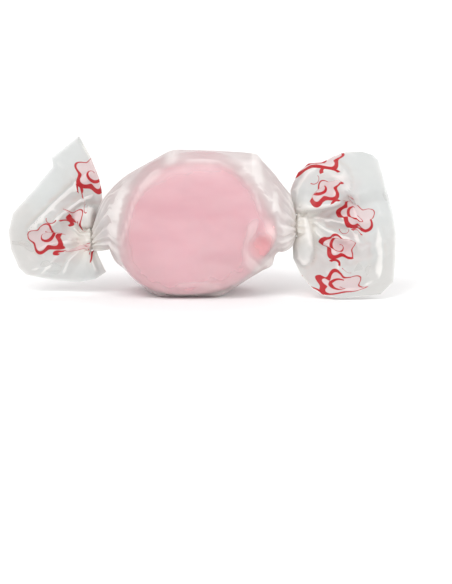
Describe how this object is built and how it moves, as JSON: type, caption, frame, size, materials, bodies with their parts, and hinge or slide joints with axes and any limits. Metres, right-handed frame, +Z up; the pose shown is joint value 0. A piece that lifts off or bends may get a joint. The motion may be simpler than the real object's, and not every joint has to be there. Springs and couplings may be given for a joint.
{
  "type": "wrapped taffy",
  "caption": "Soft pink taffy puck in translucent waxed paper, its ends twisted tight and spread into pleated fans with a red printed pattern.",
  "frame": {"origin": "on the surface that the piece rests on, in the middle of the flat spot under the wrapped candy", "axes": "+X runs along the wrapper from the left twist to the right twist, -Y is the way a round face of the candy looks, +Z is up"},
  "size_m": [0.0644, 0.0166, 0.0254],
  "materials": {
    "candy": "soft satin pulled sugar",
    "waxed_paper": "translucent waxed paper with red print"
  },
  "bodies": {
    "root": {"taffy": "candy", "wrapper": "waxed_paper"}
  },
  "joints": []
}
